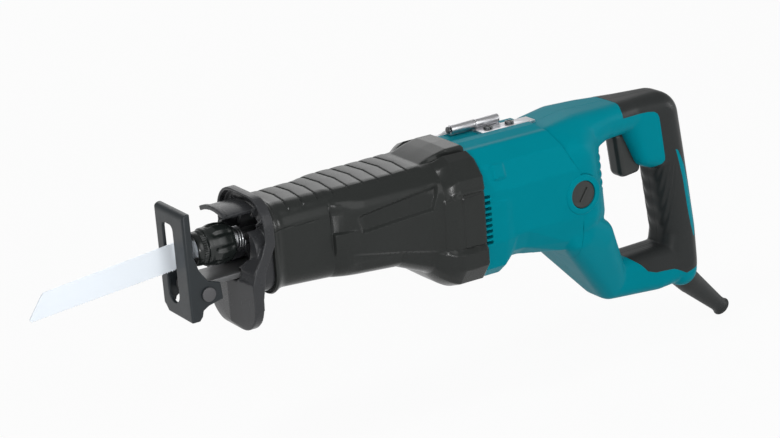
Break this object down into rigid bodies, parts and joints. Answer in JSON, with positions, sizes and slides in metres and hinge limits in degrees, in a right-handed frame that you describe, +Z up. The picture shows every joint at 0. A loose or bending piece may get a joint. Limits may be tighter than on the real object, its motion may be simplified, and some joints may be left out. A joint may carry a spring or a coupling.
{
  "type": "reciprocating saw",
  "caption": "Corded reciprocating saw with a straight blade in a twist clamp, a pivoting slotted shoe, rubber nose cover, barrel motor and a closed loop handle with trigger.",
  "frame": {"origin": "bottom centre of the whole saw: midway between blade tip and cord guard end, on the middle plane, level with the lowest point of the cord guard", "axes": "+X along the blade towards its tip, +Y to the left side as held, +Z up"},
  "size_m": [0.589, 0.0994, 0.2052],
  "materials": {
    "teal_housing": "fine-grained moulded nylon",
    "dark_rubber": "matt soft overmould",
    "guard_plastic": "satin moulded plastic",
    "black_plastic": "satin moulded plastic",
    "dark_steel": "black-oxide pressed steel",
    "blade_steel": "bright ground steel",
    "plain_steel": "ground steel",
    "zinc_steel": "zinc-plated sheet",
    "cast_aluminium": "die-cast",
    "laminations": "varnished electrical steel",
    "copper": "enamelled copper",
    "bronze": "sintered bronze",
    "carbon": "pressed carbon"
  },
  "bodies": {
    "tool": {"plunger_bushes": "bronze", "plunger_seal": "dark_rubber", "shoe_bar_screws": "dark_steel", "nose_guard": "guard_plastic", "front_cover": "dark_rubber", "gear_housing": "cast_aluminium", "gear_cover_plate": "cast_aluminium", "gear_cover_screws": "plain_steel", "crank_bearing": "plain_steel", "front_bearing": "plain_steel", "rear_bearing": "plain_steel", "fan_baffle": "black_plastic", "stator_core": "laminations", "field_coils": "copper", "motor_housing": "teal_housing", "brush_holders": "bronze", "carbon_brushes": "carbon", "brush_springs": "plain_steel", "brush_cap_left": "black_plastic", "brush_cap_right": "black_plastic", "handle_left": "teal_housing", "handle_right": "teal_housing", "grip_rubber_left": "dark_rubber", "grip_rubber_right": "dark_rubber", "handle_screws": "dark_steel", "switch_body": "black_plastic", "cord_guard": "dark_rubber", "cord_clamp": "black_plastic", "cord_clamp_screws": "plain_steel", "hook_base": "zinc_steel", "hook_pin": "dark_steel", "hook_screws": "dark_steel"},
    "ram": {"plunger": "plain_steel", "blade": "blade_steel", "clamp_lock_pin": "plain_steel", "clamp_spring": "plain_steel"},
    "sleeve": {"blade_clamp_sleeve": "black_plastic"},
    "bar": {"shoe_bar": "plain_steel", "shoe_pivot_pin": "dark_steel"},
    "shoe": {"shoe": "dark_steel"},
    "crank": {"crank_gear": "plain_steel", "crank_pin": "plain_steel"},
    "roller": {"crank_roller": "plain_steel"},
    "armature": {"armature_shaft": "plain_steel", "armature_core": "laminations", "armature_windings": "copper", "commutator": "copper", "cooling_fan": "black_plastic"},
    "trigger": {"trigger": "black_plastic"},
    "hook": {"hook": "zinc_steel"}
  },
  "joints": [
    {"name": "blade_stroke", "type": "slide", "parent": "tool", "child": "ram", "axis": [1, 0, 0], "range_m": [-0.024, 0.004]},
    {"name": "sleeve_twist", "type": "hinge", "parent": "ram", "child": "sleeve", "pos_m": [0.14703, 0, 0.16931], "axis": [1, 0, 0], "range_deg": [0, 60], "stiffness_Nm_per_rad": 0.15, "springref_deg": -20.05},
    {"name": "motor_spin", "type": "hinge", "parent": "tool", "child": "armature", "pos_m": [-0.08297, 0, 0.14731], "axis": [1, 0, 0], "continuous": true},
    {"name": "crank_spin", "type": "hinge", "parent": "tool", "child": "crank", "pos_m": [0.01503, 0, 0.14931], "axis": [0, 0, 1], "continuous": true},
    {"name": "roller_spin", "type": "hinge", "parent": "crank", "child": "roller", "pos_m": [0.01503, 0.014, 0.16031], "axis": [0, 0, 1], "continuous": true},
    {"name": "trigger_pull", "type": "slide", "parent": "tool", "child": "trigger", "axis": [-1, 0, 0], "range_m": [0, 0.007], "stiffness_N_per_m": 700, "springref_m": -0.006},
    {"name": "shoe_reach_slide", "type": "slide", "parent": "tool", "child": "bar", "axis": [1, 0, 0], "range_m": [0, 0.03]},
    {"name": "shoe_pivot", "type": "hinge", "parent": "bar", "child": "shoe", "pos_m": [0.17303, 0, 0.14331], "axis": [0, 1, 0], "range_deg": [-10, 30]},
    {"name": "hook_fold", "type": "hinge", "parent": "tool", "child": "hook", "pos_m": [-0.06297, -0.015, 0.20181], "axis": [-1, 0, 0], "range_deg": [0, 100]}
  ],
  "couplings": [
    {"joint": "crank_spin", "follows": "motor_spin", "ratio": 0.25}
  ]
}
